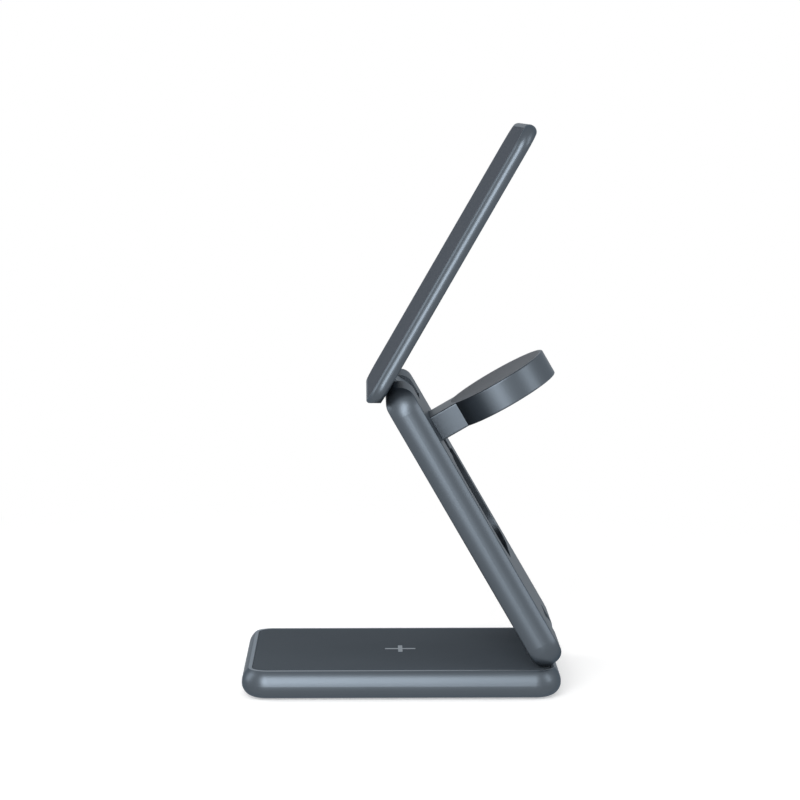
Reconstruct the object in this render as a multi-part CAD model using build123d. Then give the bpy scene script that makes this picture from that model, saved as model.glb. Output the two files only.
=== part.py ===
from build123d import *
import math
import os

# Folding three in one wireless charger, in millimetres.
# X runs along the base towards its hinge end, Y across the panels, Z up from the table.
# The base lies flat, the middle panel leans back over it, the phone panel leans the other way,
# and the watch puck stands out of the back of the middle panel on its arm.

# Panels
base_length = 86.0
panel_width = 62.0
plan_corner = 7.0
base_height = 8.0
foot_proud = 0.3
base_low_round = 3.7
base_high_round = 5.0
side_band = 0.1
mid_thickness = 8.2
mid_side_round = 6.0
mid_edge_round = 0.6
phone_length = 86.0
phone_thickness = 3.6
phone_side_round = 1.9

# Angles of the stand as it is used, in degrees
mid_lean = 60.0
phone_lean = 60.0
watch_open = 90.0

# Hinges between the panels
hinge_inset = 4.25
fold_inset = 4.15
lower_gap = 0.3
upper_gap = 0.75
phone_overhang = 5.1
fold_clearance = 0.25
tail_lip_round = 0.6
hinge_pin_radius = 1.5
hinge_pin_length = 36.0
notch_width = 15.2
notch_clearance = 0.3
lower_notch_clearance = 1.5
lower_lug_radius = 3.9
upper_lug_radius = 3.2
washer_thickness = 0.5
washer_radius = 2.9
side_clearance = 0.05
run_clearance = 0.05
seat_clearance = 0.02
tenon_length = 5.6
tenon_width = 11.0
tenon_depth = 1.2

# Inlaid pads and covers
pad_thickness = 1.0
pad_sink = 0.05
pad_gap = 0.05
rim_chamfer = 0.15
base_pad_inset = 2.9
base_wall = 4.5
hinge_block = 7.5
cover_inset = 4.2
cover_thickness = 1.8
cover_corner = 3.0
foot_inset = 5.2
foot_thickness = 0.8
phone_pad_inset = 1.8
phone_back_wall = 0.9
front_panel_thickness = 0.6
front_panel_width = 53.0
front_panel_start = 6.0
front_panel_corner = 4.0

# Watch arm and puck
watch_below_hinge = 12.9
watch_reach = 24.45
watch_thickness = 7.3
watch_radius = 14.9
watch_arm_width = 15.2
watch_edge_round = 0.4
watch_floor_gap = 0.2
watch_gap = 0.3
watch_end_gap = 0.9
watch_finger_room = 4.6
watch_room_corner = 9.0
watch_pin_radius = 1.25
watch_pin_length = 23.6
watch_floor = 1.2
watch_rim = 1.0
watch_face_thickness = 1.2
watch_face_ledge = 0.5
watch_dish = 0.4

# Coils, shields and magnets
earbud_coil_inner = 9.0
earbud_coil_outer = 20.0
earbud_coil_thickness = 1.0
earbud_shield_radius = 21.5
earbud_shield_thickness = 0.8
phone_coil_centre = 48.0
phone_coil_inner = 11.0
phone_coil_outer = 21.3
phone_coil_thickness = 1.05
phone_shield_thickness = 0.6
magnet_inner = 22.9
magnet_outer = 27.0
magnet_count = 18
magnet_step = 18.0
magnet_angle = 16.4
coil_pocket_gap = 0.3
watch_shield_thickness = 1.0
watch_coil_inner = 5.5
watch_coil_outer = 12.5
watch_coil_thickness = 2.4
watch_magnet_radius = 4.5
watch_magnet_thickness = 3.6

# Circuit boards, charging socket and screws
board_thickness = 1.0
board_gap = 1.0
board_corner = 2.0
chip_height = 1.4
mid_cavity_wall = 2.45
mid_cavity_length = 7.4
mid_cavity_width = 48.0
mid_back_wall = 1.5
socket_width = 8.94
socket_height = 3.2
socket_wall = 0.3
socket_length = 9.5
socket_sink = 0.4
socket_gap = 0.1
tongue_width = 6.7
tongue_height = 0.7
tongue_reach = 5.0
screw_radius = 0.8
screw_head_radius = 1.4
screw_head_height = 0.6
screw_length = 4.0
screw_gap = 0.1
boss_radius = 2.2
boss_offset = 1.5
block_screw_y = 20.0
lug_screw_y = 6.0
lug_screw_head_depth = 1.5
lug_screw_bite = 1.5
phone_lug_screw_offset = 1.2
cut_spare = 1.0

# Places that follow from the sizes above; folded down, the upper hinge lies by the base's free end
mid_half = mid_thickness / 2
base_waist = foot_proud + base_low_round + side_band
pad_floor = base_height - pad_sink - pad_thickness
cover_top = foot_proud + cover_thickness
board_top = cover_top + board_thickness
cavity_end = base_length / 2 - hinge_block
lug_width = notch_width - 2 * (washer_thickness + 2 * side_clearance)
lower_notch_reach = lower_lug_radius + lower_notch_clearance
upper_notch_reach = upper_lug_radius + notch_clearance
lower_drop = mid_half + lower_gap
upper_drop = mid_half + upper_gap
phone_pad_floor = phone_thickness - pad_sink - pad_thickness
front_inner = -mid_half + front_panel_thickness
axis_span = base_length - hinge_inset - fold_inset
front_panel_end = axis_span - front_panel_start
watch_half = watch_thickness / 2
watch_level = front_inner + watch_floor_gap + watch_half
watch_pivot = axis_span - watch_below_hinge
keyhole_low = watch_pivot - watch_reach - watch_radius - watch_end_gap
mid_cavity_start = keyhole_low - mid_cavity_wall - mid_cavity_length
lean = math.radians(mid_lean)
tilt = math.radians(phone_lean)
swing = math.radians(watch_open)

# Frames of the three bodies that move
lower_axis = Vector(base_length / 2 - hinge_inset, 0, base_height + lower_drop)
mid_up = Vector(-math.cos(lean), 0, math.sin(lean))
mid_back = Vector(math.sin(lean), 0, math.cos(lean))
mid_frame = Plane(lower_axis, x_dir=mid_up, z_dir=mid_back)
upper_axis = lower_axis + mid_up * axis_span
phone_up = Vector(math.cos(tilt), 0, math.sin(tilt))
phone_face = Vector(-math.sin(tilt), 0, math.cos(tilt))
phone_corner = upper_axis - phone_up * phone_overhang + phone_face * upper_drop
phone_frame_plane = Plane(phone_corner, x_dir=phone_up, z_dir=phone_face)
watch_axis = lower_axis + mid_up * watch_pivot + mid_back * watch_level
watch_out = mid_back * math.sin(swing) - mid_up * math.cos(swing)
watch_face_up = mid_up * math.sin(swing) + mid_back * math.cos(swing)
watch_plane = Plane(watch_axis, x_dir=watch_out, z_dir=watch_face_up)


def plate(length, width, corner, bottom, top):
    """Flat plate with rounded corners, centred on the Z axis."""
    return Pos(0, 0, bottom) * extrude(RectangleRounded(length, width, corner), top - bottom)


def block(x0, x1, width, z0, z1):
    """Plain block between two X and two Z values, centred across."""
    return Pos((x0 + x1) / 2, 0, (z0 + z1) / 2) * Box(x1 - x0, width, z1 - z0)


def disc(radius, bottom, top):
    """Upright disc on the Z axis."""
    return Pos(0, 0, bottom) * extrude(Circle(radius), top - bottom)


def ring(inner, outer, bottom, top):
    """Upright ring on the Z axis."""
    return disc(outer, bottom, top) - disc(inner, bottom, top)


def rod(radius, length):
    """Round bar along Y, centred on the origin."""
    return Rot(90, 0, 0) * Cylinder(radius, length)


def pillow(length, width, bottom, top, waist, low_round, high_round):
    """Plate with bulging sides: two edge rounds that meet at the waist, cut flat above and below."""
    low = waist - side_band - low_round
    high = waist + high_round
    body = plate(length, width, plan_corner, low, high)
    body = fillet(body.edges().group_by(Axis.Z)[-1], high_round)
    body = fillet(body.edges().group_by(Axis.Z)[0], low_round)
    spare = plan_corner
    body = body & block(-length, length, 2 * width, bottom, high + spare)
    return body & block(-length, length, 2 * width, low - spare, top)


def rimmed_recess(length, width, corner, floor, top):
    """Recess for an inlaid pad, with a fine chamfer round its mouth."""
    recess = plate(length, width, corner, floor, top + rim_chamfer)
    mouth = RectangleRounded(length + 2 * rim_chamfer, width + 2 * rim_chamfer, corner + rim_chamfer)
    return recess + Pos(0, 0, top) * extrude(mouth, -rim_chamfer, taper=45)


def screw(length):
    """Small screw pointing up, its head's upper face at Z 0."""
    return disc(screw_head_radius, -screw_head_height, 0) + disc(screw_radius, 0, length)


def shank_hole(length):
    """Room for the shank of a screw above Z 0."""
    return disc(screw_radius + seat_clearance, 0, length + screw_gap)


def screw_hole(length, depth):
    """Room for a whole screw: the shank above Z 0 and its counterbore below."""
    return shank_hole(length) + disc(screw_head_radius + screw_gap, -depth, 0)


def inset_plate(inset, gap, corner, bottom, top):
    """Plate that follows the base's outline at an inset, grown by a gap."""
    length = base_length - 2 * inset + 2 * gap
    return plate(length, panel_width - 2 * inset + 2 * gap, corner + gap, bottom, top)


def circuit_board(length, width, level, chips):
    """Board with its soldered parts, each given as X, Y, length and width."""
    body = plate(length, width, board_corner, level, level + board_thickness)
    for x, y, long, wide in chips:
        chip_level = level + board_thickness + chip_height / 2
        body += Pos(x, y, chip_level) * Box(long, wide, chip_height)
    return body


# Base: screw places shared by the frame, the cover and the screws
boss_x = -base_length / 2 + base_wall + boss_offset
boss_y = panel_width / 2 - base_wall - boss_offset
block_screw_x = cavity_end + boss_radius - screw_radius
cover_screw_places = [
    (boss_x, boss_y),
    (boss_x, -boss_y),
    (block_screw_x, block_screw_y),
    (block_screw_x, -block_screw_y),
]
cover_screw_level = foot_thickness + screw_head_height
lug_screw_level = cover_top + lug_screw_head_depth
lug_screw_length = base_height - lug_screw_level + lug_screw_bite
lug_screw_x = base_length / 2 - cover_inset - screw_head_radius - 2 * screw_gap
pad_corner = plan_corner - base_pad_inset
socket_level = board_top + socket_height / 2
socket_mouth = base_length / 2 - socket_sink


def lug_room(gap):
    """Footprint of the lower hinge lug, which the base pad leaves free."""
    width = lug_width + 2 * gap
    left = lower_axis.X - lower_lug_radius - gap
    return block(left, base_length, width, pad_floor - cut_spare, base_height + cut_spare)


def lower_tenon(gap):
    """Foot of the lower hinge lug, let into the hinge block."""
    x = lower_axis.X
    half = tenon_length / 2 + gap
    return block(x - half, x + half, tenon_width + 2 * gap, base_height - tenon_depth, base_height)


def socket_outline(wall_gap):
    """Rounded outline of the charging socket, across Y and Z."""
    height = socket_height + 2 * wall_gap
    flat = socket_width - socket_height
    return SlotCenterToCenter(flat, height)


def socket_prism(wall_gap, start, end):
    """Socket outline run along X."""
    face = Plane.YZ * socket_outline(wall_gap)
    return Pos(start, 0, socket_level) * extrude(face, end - start)


def make_base_frame():
    rounds = (base_waist, base_low_round, base_high_round)
    body = pillow(base_length, panel_width, foot_proud, base_height, *rounds)
    cavity_start = -base_length / 2 + base_wall
    cavity_width = panel_width - 2 * base_wall
    cavity = extrude(RectangleRounded(cavity_end - cavity_start, cavity_width, cover_corner), base_height)
    cavity = Pos((cavity_start + cavity_end) / 2, 0, 0) * cavity
    boss_top = pad_floor - earbud_coil_thickness
    for x, y in cover_screw_places[:2]:
        cavity -= Pos(x, y, 0) * disc(boss_radius, cover_top, boss_top)
    body -= cavity
    pad_length = base_length - 2 * base_pad_inset + 2 * pad_gap
    pad_width = panel_width - 2 * base_pad_inset + 2 * pad_gap
    recess = rimmed_recess(pad_length, pad_width, pad_corner + pad_gap, pad_floor, base_height)
    body -= recess - lug_room(0)
    body -= inset_plate(cover_inset, pad_gap, cover_corner, foot_proud - cut_spare, cover_top)
    body -= lower_tenon(seat_clearance)
    body -= socket_prism(socket_gap, cavity_end - cut_spare, base_length / 2 + cut_spare)
    for x, y in cover_screw_places:
        body -= Pos(x, y, cover_screw_level) * screw_hole(screw_length, screw_head_height)
    for side in (-1, 1):
        place = Pos(lug_screw_x, side * lug_screw_y, lug_screw_level)
        body -= place * screw_hole(lug_screw_length, lug_screw_level)
    return body


def make_base_pad():
    length = base_length - 2 * base_pad_inset
    width = panel_width - 2 * base_pad_inset
    body = plate(length, width, pad_corner, pad_floor, pad_floor + pad_thickness)
    return body - lug_room(pad_gap)


def make_base_cover():
    body = inset_plate(cover_inset, 0, cover_corner, foot_proud, cover_top)
    body -= inset_plate(foot_inset, pad_gap, cover_corner, foot_proud - cut_spare, foot_thickness)
    for x, y in cover_screw_places:
        body -= Pos(x, y, cover_screw_level) * screw_hole(screw_length, screw_head_height)
    return body


def make_foot_pad():
    return inset_plate(foot_inset, 0, cover_corner, 0, foot_thickness)


def make_cover_screws():
    return Compound([Pos(x, y, cover_screw_level) * screw(screw_length) for x, y in cover_screw_places])


def make_base_board():
    start = boss_x + boss_radius + board_gap
    end = cavity_end - board_gap / 2
    width = panel_width - 2 * base_wall - 2 * board_gap
    chips = [(-14, 12, 9, 9), (-14, -12, 7, 7), (4, 14, 8, 6), (4, -14, 6, 6), (16, 12, 5, 5)]
    return Pos((start + end) / 2, 0, 0) * circuit_board(end - start, width, cover_top, chips)


def make_earbud_coil():
    return ring(earbud_coil_inner, earbud_coil_outer, pad_floor - earbud_coil_thickness, pad_floor)


def make_earbud_shield():
    top = pad_floor - earbud_coil_thickness
    return disc(earbud_shield_radius, top - earbud_shield_thickness, top)


def make_socket_shell():
    back = socket_mouth - socket_length
    outer = socket_prism(0, back, socket_mouth)
    return outer - socket_prism(-socket_wall, back - cut_spare, socket_mouth + cut_spare)


def make_socket_tongue():
    back = socket_mouth - socket_length
    plug = socket_prism(-socket_wall, back, socket_mouth - socket_wall - tongue_reach)
    half = tongue_height / 2
    tip = socket_mouth - socket_wall
    return plug + block(back, tip, tongue_width, socket_level - half, socket_level + half)


def make_lower_lug():
    x = lower_axis.X
    body = Pos(x, 0, lower_axis.Z) * rod(lower_lug_radius, lug_width)
    body += block(x - lower_lug_radius, x + lower_lug_radius, lug_width, base_height, lower_axis.Z)
    body += lower_tenon(0)
    body -= Pos(x, 0, lower_axis.Z) * rod(hinge_pin_radius + run_clearance, 2 * lug_width)
    for side in (-1, 1):
        place = Pos(lug_screw_x, side * lug_screw_y, lug_screw_level)
        body -= place * shank_hole(lug_screw_length)
    return body


def make_lower_lug_screws():
    places = [Pos(lug_screw_x, side * lug_screw_y, lug_screw_level) for side in (-1, 1)]
    return Compound([place * screw(lug_screw_length) for place in places])


# Middle panel, drawn from the lower hinge axis up along X, with its back face towards +Z


def mid_body():
    """Outside of the panel: sides that bulge all the way round, ends rounded about the hinge axes."""
    length = axis_span + mid_thickness
    rounds = (side_band / 2, mid_side_round, mid_side_round)
    body = pillow(length, panel_width, -mid_half, mid_half, *rounds)
    rims = body.edges().group_by(Axis.Z)
    body = fillet(rims[0] + rims[-1], mid_edge_round)
    side_view = Plane.XZ * SlotOverall(length, mid_thickness)
    return Pos(axis_span / 2, 0, 0) * (body & extrude(side_view, panel_width, both=True))


def keyhole():
    """Outline of the recess for the folded watch arm and puck, with room for fingers beside the puck."""
    centre = watch_pivot - watch_reach
    top = watch_pivot + watch_half + watch_gap
    room = RectangleRounded(
        2 * (watch_radius + watch_end_gap), 2 * (watch_radius + watch_finger_room), watch_room_corner
    )
    arm = Pos((centre + top) / 2, 0) * Rectangle(top - centre, watch_arm_width + 2 * watch_gap)
    return Pos(centre, 0) * room + arm


def front_outline(gap):
    """Outline of the front panel, grown by a gap."""
    length = front_panel_end - front_panel_start + 2 * gap
    middle = (front_panel_start + front_panel_end) / 2
    outline = RectangleRounded(length, front_panel_width + 2 * gap, front_panel_corner + gap)
    return Pos(middle, 0) * outline


def make_mid_shell():
    body = mid_body()
    reach = mid_thickness
    body -= block(-reach, lower_notch_reach, notch_width, -reach, reach)
    body -= block(axis_span - upper_notch_reach, axis_span + reach, notch_width, -reach, reach)
    for x in (0, axis_span):
        body -= Pos(x, 0, 0) * rod(hinge_pin_radius + seat_clearance, hinge_pin_length + 2 * seat_clearance)
    body -= Pos(0, 0, front_inner) * extrude(keyhole(), mid_thickness)
    body -= Pos(0, 0, front_inner) * extrude(front_outline(pad_gap), -mid_thickness)
    cavity_end_x = mid_cavity_start + mid_cavity_length
    body -= block(mid_cavity_start, cavity_end_x, mid_cavity_width, -mid_half, mid_half - mid_back_wall)
    watch_hole = rod(watch_pin_radius + seat_clearance, watch_pin_length + 2 * seat_clearance)
    return body - Pos(watch_pivot, 0, watch_level) * watch_hole


def make_front_panel():
    return Pos(0, 0, -mid_half) * extrude(front_outline(0), front_panel_thickness)


def make_mid_board():
    length = mid_cavity_length - 2 * board_gap
    width = mid_cavity_width - 2 * board_gap
    chip = length / 2
    chips = [(0, -14, chip, 8), (0, 2, chip, 5), (0, 14, chip, 7)]
    middle = mid_cavity_start + mid_cavity_length / 2
    return Pos(middle, 0, 0) * circuit_board(length, width, front_inner, chips)


def make_hinge_pin(x):
    return Pos(x, 0, 0) * rod(hinge_pin_radius, hinge_pin_length)


def make_washers(x):
    offset = lug_width / 2 + side_clearance + washer_thickness / 2
    washer = rod(washer_radius, washer_thickness) - rod(hinge_pin_radius + seat_clearance, notch_width)
    return Compound([Pos(x, side * offset, 0) * washer for side in (-1, 1)])


def make_watch_pin():
    return Pos(watch_pivot, 0, watch_level) * rod(watch_pin_radius, watch_pin_length)


# Phone panel, drawn from its lower end up along X, with its back at Z 0 and its face at the top

phone_middle = phone_length / 2
phone_pad_corner = plan_corner - phone_pad_inset
phone_lug_screw_x = phone_overhang + phone_lug_screw_offset
phone_lug_screw_length = phone_pad_floor + lug_screw_bite
coil_pocket_radius = magnet_outer + coil_pocket_gap
phone_shield_top = phone_back_wall + phone_shield_thickness

# Where the round end of the base comes to lie, seen from the phone panel, when the stand is folded down
folded_turn = tilt + lean
folded_up = Vector(math.cos(folded_turn), 0, math.sin(folded_turn))
folded_face = Vector(-math.sin(folded_turn), 0, math.cos(folded_turn))
folded_axis = Vector(lower_axis.X - axis_span, 0, lower_axis.Z)
base_end = Vector(-base_length / 2 + base_high_round, 0, base_waist) - folded_axis
scoop_x = phone_overhang + base_end.dot(folded_up)
scoop_z = base_end.dot(folded_face) - upper_drop
scoop_radius = base_high_round + fold_clearance
neck_start = scoop_x + math.sqrt(scoop_radius**2 - scoop_z**2) + notch_clearance


def tail_scoop():
    """Hollow round the back of the lower end, which clears the base when the stand folds down."""
    return Pos(scoop_x, 0, scoop_z) * rod(scoop_radius, 2 * panel_width)


def on_tail_lip(point):
    """Whether a point lies on the edge where the hollow comes out at the panel's end."""
    away = math.hypot(point.X - scoop_x, point.Z - scoop_z) - scoop_radius
    return abs(away) < seat_clearance and point.Z > phone_thickness / 2


def upper_tenon(gap):
    """Foot of the upper hinge lug, let into the back of the phone panel."""
    start = neck_start - gap
    end = phone_overhang + upper_lug_radius - notch_clearance + gap
    return block(start, end, tenon_width + 2 * gap, 0, tenon_depth)


def screw_from_face(part):
    """A screw or its hole turned to point down from the floor of the phone pad's recess."""
    turned = Rot(180, 0, 0) * part
    level = phone_pad_floor - screw_head_height
    return [Pos(phone_lug_screw_x, side * lug_screw_y, level) * turned for side in (-1, 1)]


def make_phone_frame():
    waist = (phone_thickness + side_band) / 2
    body = pillow(
        phone_length, panel_width, 0, phone_thickness, waist, phone_side_round, phone_side_round
    )
    length = phone_length - 2 * phone_pad_inset + 2 * pad_gap
    width = panel_width - 2 * phone_pad_inset + 2 * pad_gap
    body -= rimmed_recess(length, width, phone_pad_corner + pad_gap, phone_pad_floor, phone_thickness)
    body = Pos(phone_middle, 0, 0) * body
    body -= tail_scoop()
    lip = [edge for edge in body.edges() if on_tail_lip(edge @ 0.5)]
    body = fillet(lip, tail_lip_round)
    body -= Pos(phone_coil_centre, 0, 0) * disc(coil_pocket_radius, phone_back_wall, phone_thickness)
    body -= upper_tenon(seat_clearance)
    for hole in screw_from_face(screw_hole(phone_lug_screw_length, 2 * screw_head_height)):
        body -= hole
    return body


def make_phone_pad():
    length = phone_length - 2 * phone_pad_inset
    width = panel_width - 2 * phone_pad_inset
    top = phone_pad_floor + pad_thickness
    return Pos(phone_middle, 0, 0) * plate(length, width, phone_pad_corner, phone_pad_floor, top)


def make_phone_shield():
    return Pos(phone_coil_centre, 0, 0) * disc(magnet_outer, phone_back_wall, phone_shield_top)


def make_phone_coil():
    top = phone_shield_top + phone_coil_thickness
    return Pos(phone_coil_centre, 0, 0) * ring(phone_coil_inner, phone_coil_outer, phone_shield_top, top)


def make_magnets():
    """Ring of curved magnets, left open towards the hinge for the coil's leads."""
    sector = magnet_step * magnet_count / 2
    top = phone_shield_top + phone_coil_thickness
    whole = ring(magnet_inner, magnet_outer, phone_shield_top, top)
    reach = 2 * magnet_outer
    half = math.radians(magnet_angle / 2)
    corners = [(0, 0), (reach, -reach * math.tan(half)), (reach, reach * math.tan(half))]
    wedge = Pos(0, 0, phone_back_wall) * extrude(make_face(Polyline(*corners, close=True)), phone_thickness)
    magnet = whole & wedge
    turns = [magnet_step * (i + 0.5) - sector for i in range(magnet_count)]
    return Pos(phone_coil_centre, 0, 0) * Compound([Rot(0, 0, turn) * magnet for turn in turns])


def make_upper_lug():
    x, z = phone_overhang, -upper_drop
    body = Pos(x, 0, z) * rod(upper_lug_radius, lug_width)
    body += block(neck_start, x + upper_lug_radius, lug_width, z, 0)
    body += upper_tenon(0)
    body -= Pos(x, 0, z) * rod(hinge_pin_radius + run_clearance, 2 * lug_width)
    for hole in screw_from_face(shank_hole(phone_lug_screw_length)):
        body -= hole
    return body


def make_upper_lug_screws():
    return Compound(screw_from_face(screw(phone_lug_screw_length)))


# Watch arm and puck, drawn from the watch hinge out along X, with the charging face towards +Z

face_floor = watch_half - watch_face_thickness
puck_floor = -watch_half + watch_floor
puck_bore = watch_radius - watch_rim - watch_face_ledge
watch_shield_top = puck_floor + watch_shield_thickness


def make_watch_housing():
    outline = Pos(watch_reach, 0) * Circle(watch_radius)
    outline += Pos((watch_reach - watch_half) / 2, 0) * Rectangle(watch_reach + watch_half, watch_arm_width)
    body = Pos(0, 0, -watch_half) * extrude(outline, watch_thickness)
    rims = body.edges().group_by(Axis.Z)
    body = fillet(rims[-1] + rims[0], watch_edge_round)
    far = watch_reach + watch_radius
    profile = rod(watch_half, 3 * watch_radius) + block(0, far, 3 * watch_radius, -watch_half, watch_half)
    body = body & profile
    body -= Pos(watch_reach, 0, 0) * disc(puck_bore, puck_floor, watch_half)
    body -= Pos(watch_reach, 0, 0) * disc(puck_bore + watch_face_ledge, face_floor, watch_half)
    return body - rod(watch_pin_radius + run_clearance, watch_thickness + watch_arm_width)


def make_watch_face():
    radius = puck_bore + watch_face_ledge - pad_gap
    body = disc(radius, face_floor, watch_half)
    curve = (radius**2 + watch_dish**2) / (2 * watch_dish)
    body -= Pos(0, 0, watch_half - watch_dish + curve) * Sphere(curve)
    return Pos(watch_reach, 0, 0) * body


def make_watch_shield():
    return Pos(watch_reach, 0, 0) * disc(puck_bore - pad_gap, puck_floor, watch_shield_top)


def make_watch_coil():
    top = watch_shield_top + watch_coil_thickness
    return Pos(watch_reach, 0, 0) * ring(watch_coil_inner, watch_coil_outer, watch_shield_top, top)


def make_watch_magnet():
    top = watch_shield_top + watch_magnet_thickness
    return Pos(watch_reach, 0, 0) * disc(watch_magnet_radius, watch_shield_top, top)


base_parts = {
    "base_frame": make_base_frame(),
    "base_top_pad": make_base_pad(),
    "base_bottom_cover": make_base_cover(),
    "base_foot_pad": make_foot_pad(),
    "base_cover_screws": make_cover_screws(),
    "base_circuit_board": make_base_board(),
    "earbud_coil": make_earbud_coil(),
    "earbud_coil_shield": make_earbud_shield(),
    "usb_socket_shell": make_socket_shell(),
    "usb_socket_tongue": make_socket_tongue(),
    "lower_hinge_lug": make_lower_lug(),
    "lower_hinge_lug_screws": make_lower_lug_screws(),
}
mid_parts = {
    "mid_shell": make_mid_shell(),
    "mid_front_panel": make_front_panel(),
    "mid_circuit_board": make_mid_board(),
    "lower_hinge_pin": make_hinge_pin(0),
    "lower_hinge_washers": make_washers(0),
    "upper_hinge_pin": make_hinge_pin(axis_span),
    "upper_hinge_washers": make_washers(axis_span),
    "watch_hinge_pin": make_watch_pin(),
}
phone_parts = {
    "phone_frame": make_phone_frame(),
    "phone_pad": make_phone_pad(),
    "phone_coil": make_phone_coil(),
    "phone_coil_shield": make_phone_shield(),
    "phone_magnets": make_magnets(),
    "upper_hinge_lug": make_upper_lug(),
    "upper_hinge_lug_screws": make_upper_lug_screws(),
}
watch_parts = {
    "watch_housing": make_watch_housing(),
    "watch_charging_face": make_watch_face(),
    "watch_coil": make_watch_coil(),
    "watch_coil_shield": make_watch_shield(),
    "watch_magnet": make_watch_magnet(),
}

os.makedirs("parts", exist_ok=True)
placed = [
    (Plane.XY, base_parts),
    (mid_frame, mid_parts),
    (phone_frame_plane, phone_parts),
    (watch_plane, watch_parts),
]
for frame, parts in placed:
    for name, part in parts.items():
        export_step(frame.location * part, f"parts/{name}.step")
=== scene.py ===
"""Looks of the folding three in one wireless charger: finishes, printed mark, light and camera.

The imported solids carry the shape. Lengths are in metres, in the same frame as the solids.
"""

import math

import bmesh
import bpy
from mathutils import Matrix, Vector


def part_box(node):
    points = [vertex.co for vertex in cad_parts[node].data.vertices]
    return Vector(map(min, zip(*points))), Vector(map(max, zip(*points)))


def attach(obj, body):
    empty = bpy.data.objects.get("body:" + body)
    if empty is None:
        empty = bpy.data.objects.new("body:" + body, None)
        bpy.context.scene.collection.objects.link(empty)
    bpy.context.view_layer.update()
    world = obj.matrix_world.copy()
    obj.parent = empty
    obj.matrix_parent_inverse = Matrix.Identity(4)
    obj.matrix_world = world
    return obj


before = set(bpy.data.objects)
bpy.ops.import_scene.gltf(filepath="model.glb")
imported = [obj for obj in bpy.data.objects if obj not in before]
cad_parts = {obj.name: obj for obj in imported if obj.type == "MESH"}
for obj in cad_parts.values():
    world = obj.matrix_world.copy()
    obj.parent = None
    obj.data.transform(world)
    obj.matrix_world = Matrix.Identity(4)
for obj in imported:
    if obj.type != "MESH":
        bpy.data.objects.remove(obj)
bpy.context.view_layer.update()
scene = bpy.context.scene
scene.view_settings.view_transform = "Standard"

MM = 0.001

# Places of the colour sockets on a Mix node
MIX_FROM, MIX_TO, MIX_RESULT = 6, 7, 2

# Waves that a wave texture draws in one unit of length at scale 1
WAVES_PER_UNIT = 20 / math.tau


def linear(hex_colour):
    """An sRGB hex colour as linear RGBA."""
    channels = [int(hex_colour[i : i + 2], 16) / 255 for i in (1, 3, 5)]
    powered = [c / 12.92 if c <= 0.04045 else ((c + 0.055) / 1.055) ** 2.4 for c in channels]
    return (*powered, 1.0)


def per_mm(size):
    """Texture scale that makes a pattern's features about this many millimetres across."""
    return 1 / (size * MM)


def add_node(tree, kind, values=None, links=None, **settings):
    """One node with its settings, the values on its sockets and the outputs that feed it."""
    made = tree.nodes.new(kind)
    for name, value in settings.items():
        setattr(made, name, value)
    for socket, value in (values or {}).items():
        made.inputs[socket].default_value = value
    for socket, source in (links or {}).items():
        tree.links.new(source, made.inputs[socket])
    return made


def new_finish(name):
    """An empty material with its node tree and the piece's own coordinates."""
    material = bpy.data.materials.new(name)
    material.use_nodes = True
    material.node_tree.nodes.clear()
    place = add_node(material.node_tree, "ShaderNodeTexCoord").outputs["Object"]
    return material, material.node_tree, place


def close_finish(tree, values, colour, gloss, relief, depth):
    """The surface shader: fixed values, and colour, roughness and relief from the nodes before it."""
    bump = add_node(
        tree,
        "ShaderNodeBump",
        values={"Strength": 1.0, "Distance": depth * MM},
        links={"Height": relief},
    )
    links = {"Base Color": colour, "Roughness": gloss, "Normal": bump.outputs["Normal"]}
    shader = add_node(tree, "ShaderNodeBsdfPrincipled", values=values, links=links)
    add_node(tree, "ShaderNodeOutputMaterial", links={"Surface": shader.outputs["BSDF"]})


def box_mask(tree, place, middle, turn, half_sizes):
    """1 inside a box and 0 outside: its middle, its turn about Y and its half sizes are given."""
    values = {"Location": middle, "Rotation": (0.0, turn, 0.0), "Scale": half_sizes}
    boxed = add_node(
        tree, "ShaderNodeMapping", values=values, links={"Vector": place}, vector_type="TEXTURE"
    )
    links = {0: boxed.outputs["Vector"]}
    spread = add_node(tree, "ShaderNodeVectorMath", links=links, operation="ABSOLUTE")
    sides = add_node(tree, "ShaderNodeSeparateXYZ", links={"Vector": spread.outputs["Vector"]}).outputs
    largest = sides["X"]
    for side in ("Y", "Z"):
        links = {0: largest, 1: sides[side]}
        largest = add_node(tree, "ShaderNodeMath", links=links, operation="MAXIMUM").outputs["Value"]
    inside = add_node(tree, "ShaderNodeMath", values={1: 1.0}, links={0: largest}, operation="LESS_THAN")
    return inside.outputs["Value"]


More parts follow.
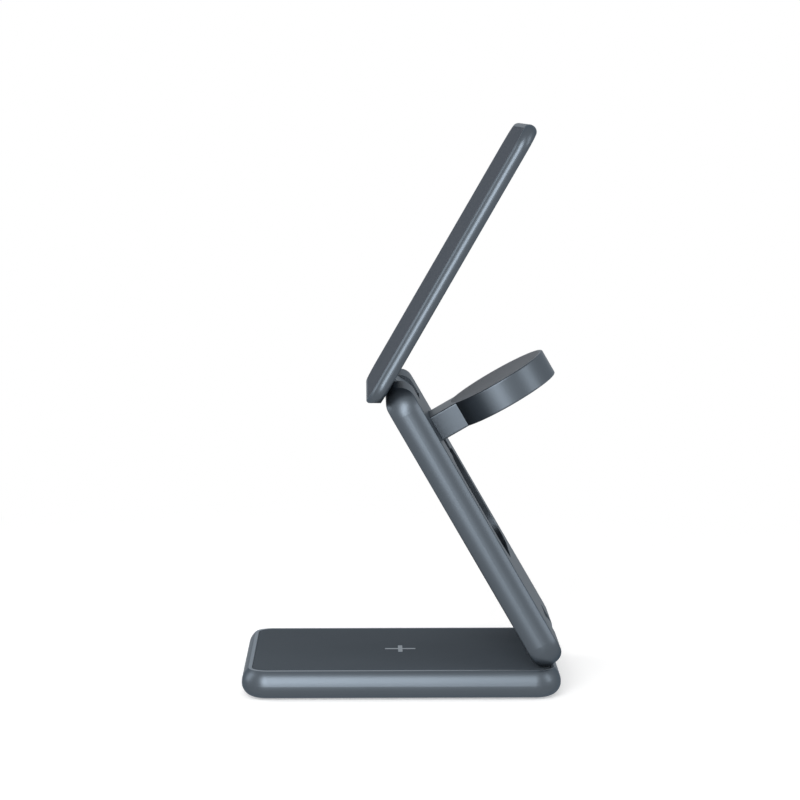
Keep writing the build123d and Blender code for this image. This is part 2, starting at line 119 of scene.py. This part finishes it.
def grained_finish(name, tones, drift, grain, roughness, depth, values, painted_light_tone=None, painted_light_box=None):
    """A surface whose tone drifts slowly between two colours and whose gloss and relief are grained.

    drift and grain are the sizes of those patterns and depth the height of the grain, in millimetres;
    roughness gives the smoothest and the roughest spots. Inside the box given as a middle, a turn and half
    sizes, the surface has the second tone given: painted light, a painted highlight or a painted shade.
    """
    material, tree, place = new_finish(name)
    clouds = add_node(
        tree, "ShaderNodeTexNoise", values={"Scale": per_mm(drift), "Detail": 2.0}, links={"Vector": place}
    )
    specks = add_node(
        tree, "ShaderNodeTexNoise", values={"Scale": per_mm(grain), "Detail": 3.0}, links={"Vector": place}
    )
    tone = add_node(
        tree,
        "ShaderNodeMix",
        values={MIX_FROM: linear(tones[0]), MIX_TO: linear(tones[1])},
        links={"Factor": clouds.outputs["Fac"]},
        data_type="RGBA",
    )
    # A second tone inside a box: a painted highlight or a painted shade
    if painted_light_tone:
        tone = add_node(
            tree,
            "ShaderNodeMix",
            values={MIX_TO: linear(painted_light_tone)},
            links={"Factor": box_mask(tree, place, *painted_light_box), MIX_FROM: tone.outputs[MIX_RESULT]},
            data_type="RGBA",
        )
    gloss = add_node(
        tree,
        "ShaderNodeMapRange",
        values={"From Min": 0.3, "From Max": 0.7, "To Min": roughness[0], "To Max": roughness[1]},
        links={"Value": specks.outputs["Fac"]},
    )
    close_finish(
        tree, values, tone.outputs[MIX_RESULT], gloss.outputs["Result"], specks.outputs["Fac"], depth
    )
    return material


def anodised_finish(name, edge_tint, painted_light_tone=None, painted_light_box=None):
    """Aluminium, bead blasted and anodised slate grey: satin, with soft long highlights.

    No grain shows from a hand's distance. The pits are 0.05 mm wide, drawn at 0.3 mm so that they show.
    edge_tint is how much of the light it gives back at a slant; the longer the blasting, the less.
    The dyed oxide film scatters a little of the light, so the surface isn't wholly metallic.
    """
    values = {"Metallic": 0.92, "Specular Tint": linear(edge_tint)}
    return grained_finish(
        name,
        tones=("#4e555c", "#525960"),
        drift=25.0,
        grain=0.3,
        roughness=(0.36, 0.4),
        depth=0.002,
        values=values,
        painted_light_tone=painted_light_tone,
        painted_light_box=painted_light_box,
    )


# Painted highlight on the flat rim round the base's inlay: a lighter tone on the frame's uppermost 0.05 mm
RIM_DEPTH = 0.05 * MM
RIM_SPARE = 1.0 * MM
base_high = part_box("base_frame")[1]
rim_half = Vector((base_high.x + RIM_SPARE, base_high.y + RIM_SPARE, RIM_DEPTH))
painted_rim_highlight = (Vector((0.0, 0.0, base_high.z)), 0.0, rim_half)

# Painted shade on the walls of the watch recess: a darker tone inside a box that lies along the middle
# panel, over the room for the arm, the puck and the fingers, and ends 0.15 mm under the panel's back.
RECESS_MIDDLE = Vector((15.63, 0.0, 52.8)) * MM
RECESS_HALF = Vector((22.4, 20.0, 3.77)) * MM
MID_TURN = math.radians(-120.0)
painted_recess_shade = (RECESS_MIDDLE, MID_TURN, RECESS_HALF)

phone_anodised_aluminium = anodised_finish("anodised_aluminium_phone_panel", "#b0b8c0")
watch_anodised_aluminium = anodised_finish("anodised_aluminium_watch_arm", "#d0d6dc")
# The base's frame, with a painted highlight along the rim round its inlay
base_anodised_aluminium = anodised_finish(
    "anodised_aluminium_painted_rim_highlight", "#b0b8c0", painted_light_tone="#8a9198", painted_light_box=painted_rim_highlight
)
# The middle panel's shell, with painted shade on the walls of the watch recess
mid_anodised_aluminium = anodised_finish(
    "anodised_aluminium_painted_recess_shade", "#98a0a8", painted_light_tone="#40464c", painted_light_box=painted_recess_shade
)


def soft_touch_finish(name, tones):
    """Soft-touch coated polycarbonate inlay: sprayed rubbery paint, dead matte and even.

    The paint's orange peel is 0.1 mm wide, drawn at 0.4 mm so that it shows.
    """
    values = {"Metallic": 0.0, "Specular IOR Level": 0.06}
    return grained_finish(
        name, tones, drift=18.0, grain=0.4, roughness=(0.82, 0.92), depth=0.004, values=values
    )


# The phone panel's inlay is a darker copy of the base's coating: painted shade that offsets the extra light
# on its leaning face.
base_soft_touch_coating = soft_touch_finish("soft_touch_coating_base", ("#41484f", "#454c53"))
phone_soft_touch_painted_shade = soft_touch_finish("soft_touch_coating_phone_painted_shade", ("#3a4048", "#3e444c"))

# Aluminium sheet, finely blasted and anodised a shade darker than the shell that it closes.
blasted_aluminium_sheet = grained_finish(
    "blasted_aluminium_sheet",
    tones=("#474d54", "#4b5158"),
    drift=30.0,
    grain=0.35,
    roughness=(0.42, 0.5),
    depth=0.003,
    values={"Metallic": 1.0, "Specular Tint": linear("#b0b8c0")},
)

# Die-cast zinc, tumbled and painted to match the shell: smooth, a little duller than it.
painted_zinc_casting = grained_finish(
    "painted_zinc_casting",
    tones=("#5c636b", "#62696f"),
    drift=6.0,
    grain=0.5,
    roughness=(0.36, 0.46),
    depth=0.006,
    values={"Metallic": 0.9, "Specular Tint": linear("#b0b8c0")},
)

# Sheet brass, pressed: warm and half bright, with a lightly tarnished drift of tone.
pressed_brass = grained_finish(
    "pressed_brass",
    tones=("#b5904a", "#c3a05c"),
    drift=2.0,
    grain=0.2,
    roughness=(0.25, 0.4),
    depth=0.002,
    values={"Metallic": 1.0},
)

# ABS, moulded in a spark-eroded tool: black, with the fine even texture of that tool.
moulded_abs = grained_finish(
    "moulded_abs",
    tones=("#24272b", "#292c30"),
    drift=12.0,
    grain=0.3,
    roughness=(0.5, 0.65),
    depth=0.012,
    values={"Metallic": 0.0, "Specular IOR Level": 0.4},
)

# Silicone rubber, pressed: dead matte and slightly dusty, so its black is greyed.
silicone_rubber = grained_finish(
    "silicone_rubber",
    tones=("#1f2124", "#282a2d"),
    drift=7.0,
    grain=0.6,
    roughness=(0.85, 0.95),
    depth=0.02,
    values={"Metallic": 0.0, "Specular IOR Level": 0.2},
)

# Sintered ferrite: charcoal and stony, with the fine crystals of a fired powder.
sintered_ferrite = grained_finish(
    "sintered_ferrite",
    tones=("#2c2c2e", "#3a3a3c"),
    drift=1.2,
    grain=0.25,
    roughness=(0.6, 0.8),
    depth=0.01,
    values={"Metallic": 0.0, "Specular IOR Level": 0.4},
)

# Nickel plating on a sintered magnet: bright and faintly yellow, rippled by the powder below it.
nickel_plating = grained_finish(
    "nickel_plating",
    tones=("#bdbab3", "#c9c6c0"),
    drift=3.0,
    grain=0.4,
    roughness=(0.16, 0.26),
    depth=0.003,
    values={"Metallic": 1.0},
)

# Polycarbonate, moulded satin in the shell's slate grey: the shallow dish that a watch's back lies in.
satin_polycarbonate = grained_finish(
    "satin_polycarbonate",
    tones=("#555c64", "#595f67"),
    drift=10.0,
    grain=0.4,
    roughness=(0.55, 0.62),
    depth=0.002,
    values={"Metallic": 0.0, "Specular IOR Level": 0.15},
)

# Pad-printed ink: thin, flat and slightly uneven where the ink pooled.
pad_print_ink = grained_finish(
    "pad_print_ink",
    tones=("#8b939b", "#9aa2a9"),
    drift=0.8,
    grain=0.2,
    roughness=(0.7, 0.85),
    depth=0.002,
    values={"Metallic": 0.0, "Specular IOR Level": 0.06},
)


def turned_steel_finish():
    """Stainless steel bar and screws, turned: fine rings of tool marks round the bar catch the light.

    The marks are 0.05 mm apart, drawn at 0.5 mm so that they show.
    """
    material, tree, place = new_finish("turned_stainless_steel")
    marks = add_node(
        tree,
        "ShaderNodeTexWave",
        values={"Scale": per_mm(0.5) / WAVES_PER_UNIT, "Distortion": 1.5, "Detail": 2.0},
        links={"Vector": place},
        bands_direction="Y",
    )
    tone = add_node(
        tree,
        "ShaderNodeMix",
        values={MIX_FROM: linear("#b4b6ba"), MIX_TO: linear("#c6c8cb")},
        links={"Factor": marks.outputs["Fac"]},
        data_type="RGBA",
    )
    gloss = add_node(
        tree,
        "ShaderNodeMapRange",
        values={"To Min": 0.22, "To Max": 0.36},
        links={"Value": marks.outputs["Fac"]},
    )
    values = {"Metallic": 1.0}
    height = marks.outputs["Fac"]
    close_finish(tree, values, tone.outputs[MIX_RESULT], gloss.outputs["Result"], height, 0.003)
    return material


def wound_wire_finish(name, centre, axis_turn):
    """Enamelled copper wire wound flat: rings 0.5 mm apart round the coil's own axis."""
    material, tree, place = new_finish(name)
    lie_flat = add_node(
        tree,
        "ShaderNodeMapping",
        values={"Location": centre, "Rotation": (0.0, axis_turn, 0.0)},
        links={"Vector": place},
        vector_type="TEXTURE",
    )
    turns = add_node(
        tree,
        "ShaderNodeTexWave",
        values={"Scale": per_mm(0.5) / WAVES_PER_UNIT, "Distortion": 0.2},
        links={"Vector": lie_flat.outputs["Vector"]},
        wave_type="RINGS",
        rings_direction="Z",
    )
    tone = add_node(
        tree,
        "ShaderNodeMix",
        values={MIX_FROM: linear("#5f2f16"), MIX_TO: linear("#c9733c")},
        links={"Factor": turns.outputs["Fac"]},
        data_type="RGBA",
    )
    gloss = add_node(
        tree,
        "ShaderNodeMapRange",
        values={"To Min": 0.45, "To Max": 0.22},
        links={"Value": turns.outputs["Fac"]},
    )
    values = {"Metallic": 0.9, "Coat Weight": 0.4, "Coat Roughness": 0.15}
    height = turns.outputs["Fac"]
    close_finish(tree, values, tone.outputs[MIX_RESULT], gloss.outputs["Result"], height, 0.1)
    return material


def circuit_board_finish():
    """Glass-epoxy board under green solder mask: copper runs show as paler, raised, squared tracks."""
    material, tree, place = new_finish("solder_mask_on_glass_epoxy")
    tracks = add_node(
        tree,
        "ShaderNodeTexBrick",
        values={
            "Color1": linear("#16502f"),
            "Color2": linear("#1a5a36"),
            "Mortar": linear("#2f7a4c"),
            "Scale": per_mm(2.0),
            "Mortar Size": 0.08,
        },
        links={"Vector": place},
    )
    weave = add_node(
        tree, "ShaderNodeTexNoise", values={"Scale": per_mm(0.4), "Detail": 2.0}, links={"Vector": place}
    )
    gloss = add_node(
        tree,
        "ShaderNodeMapRange",
        values={"To Min": 0.25, "To Max": 0.45},
        links={"Value": weave.outputs["Fac"]},
    )
    values = {"Metallic": 0.0, "Specular IOR Level": 0.5}
    height = tracks.outputs["Fac"]
    close_finish(tree, values, tracks.outputs["Color"], gloss.outputs["Result"], height, 0.03)
    return material


def middle_of(node):
    """Middle of a solid's box."""
    low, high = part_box(node)
    return (low + high) / 2


turned_stainless_steel = turned_steel_finish()
solder_mask_board = circuit_board_finish()
PHONE_LEAN = math.radians(-60.0)
WATCH_LEAN = math.radians(-30.0)
coil_finishes = {
    "earbud_coil": wound_wire_finish("wound_copper_earbud", middle_of("earbud_coil"), 0.0),
    "phone_coil": wound_wire_finish("wound_copper_phone", middle_of("phone_coil"), PHONE_LEAN),
    "watch_coil": wound_wire_finish("wound_copper_watch", middle_of("watch_coil"), WATCH_LEAN),
}

finish_of = {
    "base_frame": base_anodised_aluminium,
    "mid_shell": mid_anodised_aluminium,
    "phone_frame": phone_anodised_aluminium,
    "watch_housing": watch_anodised_aluminium,
    "base_top_pad": base_soft_touch_coating,
    "phone_pad": phone_soft_touch_painted_shade,
    "mid_front_panel": blasted_aluminium_sheet,
    "lower_hinge_lug": painted_zinc_casting,
    "upper_hinge_lug": painted_zinc_casting,
    "lower_hinge_pin": turned_stainless_steel,
    "upper_hinge_pin": turned_stainless_steel,
    "watch_hinge_pin": turned_stainless_steel,
    "base_cover_screws": turned_stainless_steel,
    "lower_hinge_lug_screws": turned_stainless_steel,
    "upper_hinge_lug_screws": turned_stainless_steel,
    "usb_socket_shell": turned_stainless_steel,
    "lower_hinge_washers": pressed_brass,
    "upper_hinge_washers": pressed_brass,
    "base_bottom_cover": moulded_abs,
    "usb_socket_tongue": moulded_abs,
    "base_foot_pad": silicone_rubber,
    "earbud_coil_shield": sintered_ferrite,
    "phone_coil_shield": sintered_ferrite,
    "watch_coil_shield": sintered_ferrite,
    "phone_magnets": nickel_plating,
    "watch_magnet": nickel_plating,
    "base_circuit_board": solder_mask_board,
    "mid_circuit_board": solder_mask_board,
    "watch_charging_face": satin_polycarbonate,
    **coil_finishes,
}
for name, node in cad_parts.items():
    node.data.materials.clear()
    node.data.materials.append(finish_of[name])


def printed_plus(arm, stroke, film, corner):
    """The plus mark over the earbud coil: a film of ink on the base pad, its corners rounded."""
    middle = middle_of("earbud_coil")
    middle.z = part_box("base_top_pad")[1].z
    half, side = arm / 2, stroke / 2
    quarter = [Vector((half, -side, 0)), Vector((half, side, 0)), Vector((side, side, 0))]
    turns = [Matrix.Rotation(turn * math.pi / 2, 3, "Z") for turn in range(4)]
    outline = [middle + turn @ corner_point for turn in turns for corner_point in quarter]
    shape = bmesh.new()
    shape.faces.new([shape.verts.new(point) for point in outline])
    bmesh.ops.bevel(
        shape, geom=shape.verts[:], offset=corner, segments=3, affect="VERTICES", profile=0.5
    )
    raised = bmesh.ops.extrude_face_region(shape, geom=shape.faces[:])
    lifted = [part for part in raised["geom"] if isinstance(part, bmesh.types.BMVert)]
    bmesh.ops.translate(shape, verts=lifted, vec=(0, 0, film))
    bmesh.ops.recalc_face_normals(shape, faces=shape.faces[:])
    mesh = bpy.data.meshes.new("printed_plus")
    shape.to_mesh(mesh)
    shape.free()
    mesh.materials.append(pad_print_ink)
    mark = bpy.data.objects.new("printed_plus", mesh)
    scene.collection.objects.link(mark)
    return mark


mark = printed_plus(arm=8.4 * MM, stroke=1.2 * MM, film=0.03 * MM, corner=0.15 * MM)
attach(mark, "base")


# Studio: a pale floor that takes the shadow near the stand and whitens away from it, in a white room
FLOOR_HALF = 6.0
FLOOR_LIFT = 0.35
SHADOW_NEAR = 90 * MM
SHADOW_FAR = 320 * MM
ROOM_LIGHT = 0.55


def room_brightness(tree):
    """White for rays that show the room, straight, mirrored or through glass; dimmer where it lights."""
    ray = add_node(tree, "ShaderNodeLightPath")
    seen = ray.outputs["Is Camera Ray"]
    for other in ("Is Glossy Ray", "Is Transmission Ray"):
        links = {0: seen, 1: ray.outputs[other]}
        seen = add_node(tree, "ShaderNodeMath", links=links, operation="MAXIMUM").outputs["Value"]
    values = {"To Min": ROOM_LIGHT, "To Max": 1.0}
    return add_node(tree, "ShaderNodeMapRange", values=values, links={"Value": seen}).outputs["Result"]


def lay_floor():
    """White studio floor that takes the stand's shadow and meets the white room without an edge.

    It isn't mirrored in the metal, which shows the white room all round.
    """
    material, tree, place = new_finish("white_studio_floor")
    distance = add_node(tree, "ShaderNodeVectorMath", links={0: place}, operation="LENGTH")
    away = add_node(
        tree,
        "ShaderNodeMapRange",
        values={"From Min": SHADOW_NEAR, "From Max": SHADOW_FAR},
        links={"Value": distance.outputs["Value"]},
        interpolation_type="SMOOTHSTEP",
    )
    paint = add_node(tree, "ShaderNodeBsdfDiffuse", values={"Color": linear("#e8e8e8")})
    sheen = add_node(tree, "ShaderNodeEmission", values={"Strength": FLOOR_LIFT})
    links = {0: paint.outputs["BSDF"], 1: sheen.outputs["Emission"]}
    near = add_node(tree, "ShaderNodeAddShader", links=links)
    far = add_node(tree, "ShaderNodeEmission", links={"Strength": room_brightness(tree)})
    links = {0: away.outputs["Result"], 1: near.outputs["Shader"], 2: far.outputs["Emission"]}
    surface = add_node(tree, "ShaderNodeMixShader", links=links)
    add_node(tree, "ShaderNodeOutputMaterial", links={"Surface": surface.outputs["Shader"]})
    mesh = bpy.data.meshes.new("studio_floor")
    corners = [(x * FLOOR_HALF, y * FLOOR_HALF, 0) for x, y in ((-1, -1), (1, -1), (1, 1), (-1, 1))]
    mesh.from_pydata(corners, [], [(0, 1, 2, 3)])
    mesh.materials.append(material)
    floor = bpy.data.objects.new("studio_floor", mesh)
    floor.visible_glossy = False
    floor.visible_shadow = False
    scene.collection.objects.link(floor)
    return floor


lay_floor()

room = bpy.data.worlds.new("white_room")
room.use_nodes = True
room.node_tree.nodes.clear()
air = add_node(
    room.node_tree,
    "ShaderNodeBackground",
    values={"Color": linear("#ffffff")},
    links={"Strength": room_brightness(room.node_tree)},
)
add_node(room.node_tree, "ShaderNodeOutputWorld", links={"Surface": air.outputs["Background"]})
scene.world = room


# Camera of the photograph: where it looks, how far off it stands and how long its lens is
LOOK_AT = Vector((-0.06, 0.0, 77.58)) * MM
CAMERA_AZIMUTH = math.radians(-0.775)
CAMERA_ELEVATION = math.radians(6.43)
CAMERA_DISTANCE = 727 * MM
FOCAL_PX = 2640
PHOTO_SIDE_PX = 800
SENSOR_MM = 36.0
LAMP_DISTANCE = 0.9


def direction(azimuth, elevation):
    """Unit vector from the stand: azimuth turns from the photograph's side towards +X."""
    level = math.cos(elevation)
    return Vector((math.sin(azimuth) * level, -math.cos(azimuth) * level, math.sin(elevation)))


def facing(place, target):
    """Rotation that points a lamp or a camera from its place at a target."""
    return (target - place).to_track_quat("-Z", "Y").to_euler()


def soft_box(name, azimuth, elevation, width, height, radiance):
    """A rectangular soft box whose lit face has the given brightness, where 1 is white."""
    lamp = bpy.data.lights.new(name, "AREA")
    lamp.shape = "RECTANGLE"
    lamp.size = width
    lamp.size_y = height
    lamp.energy = math.pi * width * height * radiance
    box = bpy.data.objects.new(name, lamp)
    way = direction(math.radians(azimuth), math.radians(elevation))
    box.location = LOOK_AT + way * LAMP_DISTANCE
    box.rotation_euler = facing(box.location, LOOK_AT)
    box.visible_camera = False
    scene.collection.objects.link(box)


# A tall strip in front draws the long highlights, light off the table fills them from below, and a box on
# either side lights the ends.
soft_box("front_strip", azimuth=-12, elevation=19, width=0.46, height=0.85, radiance=6.8)
soft_box("table_glow", azimuth=-6, elevation=-12, width=0.46, height=0.26, radiance=2.0)
soft_box("right_box", azimuth=64, elevation=20, width=0.34, height=0.6, radiance=2.8)
soft_box("left_box", azimuth=-98, elevation=20, width=0.4, height=0.6, radiance=2.8)

lens = bpy.data.cameras.new("photo_camera")
lens.sensor_width = SENSOR_MM
lens.lens = FOCAL_PX / PHOTO_SIDE_PX * SENSOR_MM
camera = bpy.data.objects.new("photo_camera", lens)
camera.location = LOOK_AT + direction(CAMERA_AZIMUTH, CAMERA_ELEVATION) * CAMERA_DISTANCE
camera.rotation_euler = facing(camera.location, LOOK_AT)
scene.collection.objects.link(camera)
scene.camera = camera
